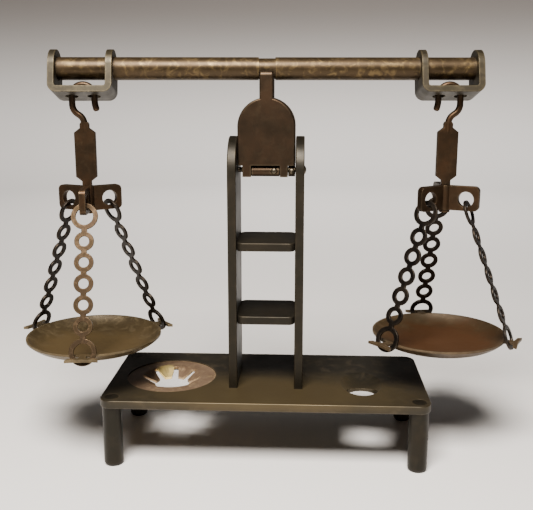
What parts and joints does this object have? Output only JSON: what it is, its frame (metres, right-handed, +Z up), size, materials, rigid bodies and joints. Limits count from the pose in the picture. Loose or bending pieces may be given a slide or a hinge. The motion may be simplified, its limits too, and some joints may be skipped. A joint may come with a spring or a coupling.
{
  "type": "equal-arm balance scale",
  "caption": "Table balance scale: a round beam on a hinged head over a ladder column, with pans hung from stirrups, hooks and ringed strips above a plate on peg legs.",
  "frame": {"origin": "centre of the overall footprint, at the bottom of the legs", "axes": "+X along the beam towards the right-hand pan, +Y towards the back, +Z up"},
  "size_m": [0.2481, 0.0914, 0.1947],
  "materials": {
    "stand_brass": "aged brass with a dark olive-brown patina, softly worn along the edges",
    "ring_brass": "copper-toned brass, scratched bright, with dark patina in the corners",
    "pin_brass": "rubbed brass pin ends and screw heads",
    "beam_brass": "golden-brown aged brass, polished by handling",
    "hook_brass": "dark brass with a reddish cast on the flats",
    "strip_brass_dark": "near-black brown patina on stamped brass",
    "strip_brass_bright": "rubbed tan-gold stamped brass",
    "pan_brass_left": "olive-brown mottled brass",
    "pan_brass_right": "reddish-brown mottled brass"
  },
  "bodies": {
    "stand": {"base_plate": "stand_brass", "leg_front_left": "stand_brass", "leg_front_right": "stand_brass", "leg_rear_left": "stand_brass", "leg_rear_right": "stand_brass", "toothed_ring": "ring_brass", "upright_left": "stand_brass", "upright_right": "stand_brass", "rung_lower": "stand_brass", "rung_upper": "stand_brass", "hinge_pin": "pin_brass"},
    "head": {"front_leaf": "stand_brass", "rear_leaf": "stand_brass", "lock_screws": "pin_brass", "pivot_pin": "pin_brass"},
    "beam": {"beam_rod": "beam_brass"},
    "stirrup_left": {"stirrup_left": "beam_brass"},
    "hook_left": {"hook_blade_left": "hook_brass"},
    "hanger_left": {"hanger_left": "hook_brass"},
    "strip_left_front": {"strip_left_front": "strip_brass_bright"},
    "strip_left_inner": {"strip_left_inner": "strip_brass_dark"},
    "strip_left_outer": {"strip_left_outer": "strip_brass_dark"},
    "pan_left": {"pan_left": "pan_brass_left"},
    "stirrup_right": {"stirrup_right": "beam_brass"},
    "hook_right": {"hook_blade_right": "hook_brass"},
    "hanger_right": {"hanger_right": "hook_brass"},
    "strip_right_rear": {"strip_right_rear": "strip_brass_dark"},
    "strip_right_inner": {"strip_right_inner": "strip_brass_dark"},
    "strip_right_outer": {"strip_right_outer": "strip_brass_dark"},
    "pan_right": {"pan_right": "pan_brass_right"}
  },
  "joints": [
    {"name": "head_lean", "type": "hinge", "parent": "stand", "child": "head", "pos_m": [0, 0.00298, 0.139], "axis": [1, 0, 0], "range_deg": [-20, 20]},
    {"name": "beam_tilt", "type": "hinge", "parent": "head", "child": "beam", "pos_m": [0, 0.00298, 0.1831], "axis": [0, 1, 0], "range_deg": [-10, 10]},
    {"name": "stirrup_swing_left", "type": "hinge", "parent": "beam", "child": "stirrup_left", "pos_m": [-0.08519, -0.00298, 0.186], "axis": [0.9976, 0.0698, 0], "range_deg": [-10, 25]},
    {"name": "hook_swing_left", "type": "hinge", "parent": "stirrup_left", "child": "hook_left", "pos_m": [-0.08498, -0.00595, 0.17365], "axis": [0.0698, -0.9976, 0], "range_deg": [-10, 10]},
    {"name": "hanger_turn_left", "type": "hinge", "parent": "hook_left", "child": "hanger_left", "pos_m": [-0.08498, -0.00595, 0.1255], "axis": [0, 0, 1], "continuous": true},
    {"name": "strip_swing_left_front", "type": "hinge", "parent": "hanger_left", "child": "strip_left_front", "pos_m": [-0.0839, -0.01629, 0.1218], "axis": [0.9945, 0.1045, 0], "range_deg": [-6, 6]},
    {"name": "strip_swing_left_inner", "type": "hinge", "parent": "hanger_left", "child": "strip_left_inner", "pos_m": [-0.07657, 0.00016, 0.1218], "axis": [0.9945, 0.1045, 0], "range_deg": [-6, 6]},
    {"name": "strip_swing_left_outer", "type": "hinge", "parent": "hanger_left", "child": "strip_left_outer", "pos_m": [-0.09448, -0.00172, 0.1218], "axis": [0.9945, 0.1045, 0], "range_deg": [-6, 6]},
    {"name": "pan_tilt_left", "type": "hinge", "parent": "strip_left_front", "child": "pan_left", "pos_m": [-0.08133, -0.04076, 0.0575], "axis": [0.9945, 0.1045, 0], "range_deg": [-2, 2]},
    {"name": "stirrup_swing_right", "type": "hinge", "parent": "beam", "child": "stirrup_right", "pos_m": [0.08519, 0.00893, 0.186], "axis": [0.9976, 0.0698, 0], "range_deg": [-10, 25]},
    {"name": "hook_swing_right", "type": "hinge", "parent": "stirrup_right", "child": "hook_right", "pos_m": [0.0854, 0.00596, 0.17365], "axis": [0.0698, -0.9976, 0], "range_deg": [-10, 10]},
    {"name": "hanger_turn_right", "type": "hinge", "parent": "hook_right", "child": "hanger_right", "pos_m": [0.0854, 0.00596, 0.1255], "axis": [0, 0, 1], "continuous": true},
    {"name": "strip_swing_right_rear", "type": "hinge", "parent": "hanger_right", "child": "strip_right_rear", "pos_m": [0.08431, 0.01631, 0.1218], "axis": [-0.9945, -0.1045, 0], "range_deg": [-6, 6]},
    {"name": "strip_swing_right_inner", "type": "hinge", "parent": "hanger_right", "child": "strip_right_inner", "pos_m": [0.07699, -0.00015, 0.1218], "axis": [-0.9945, -0.1045, 0], "range_deg": [-6, 6]},
    {"name": "strip_swing_right_outer", "type": "hinge", "parent": "hanger_right", "child": "strip_right_outer", "pos_m": [0.0949, 0.00173, 0.1218], "axis": [-0.9945, -0.1045, 0], "range_deg": [-6, 6]},
    {"name": "pan_tilt_right", "type": "hinge", "parent": "strip_right_rear", "child": "pan_right", "pos_m": [0.08174, 0.04077, 0.0575], "axis": [-0.9945, -0.1045, 0], "range_deg": [-2, 2]}
  ],
  "couplings": [
    {"joint": "strip_swing_left_inner", "follows": "strip_swing_left_front", "ratio": 1},
    {"joint": "strip_swing_left_outer", "follows": "strip_swing_left_front", "ratio": 1},
    {"joint": "pan_tilt_left", "follows": "strip_swing_left_front", "ratio": -0.2971},
    {"joint": "strip_swing_right_inner", "follows": "strip_swing_right_rear", "ratio": 1},
    {"joint": "strip_swing_right_outer", "follows": "strip_swing_right_rear", "ratio": 1},
    {"joint": "pan_tilt_right", "follows": "strip_swing_right_rear", "ratio": -0.2971}
  ]
}
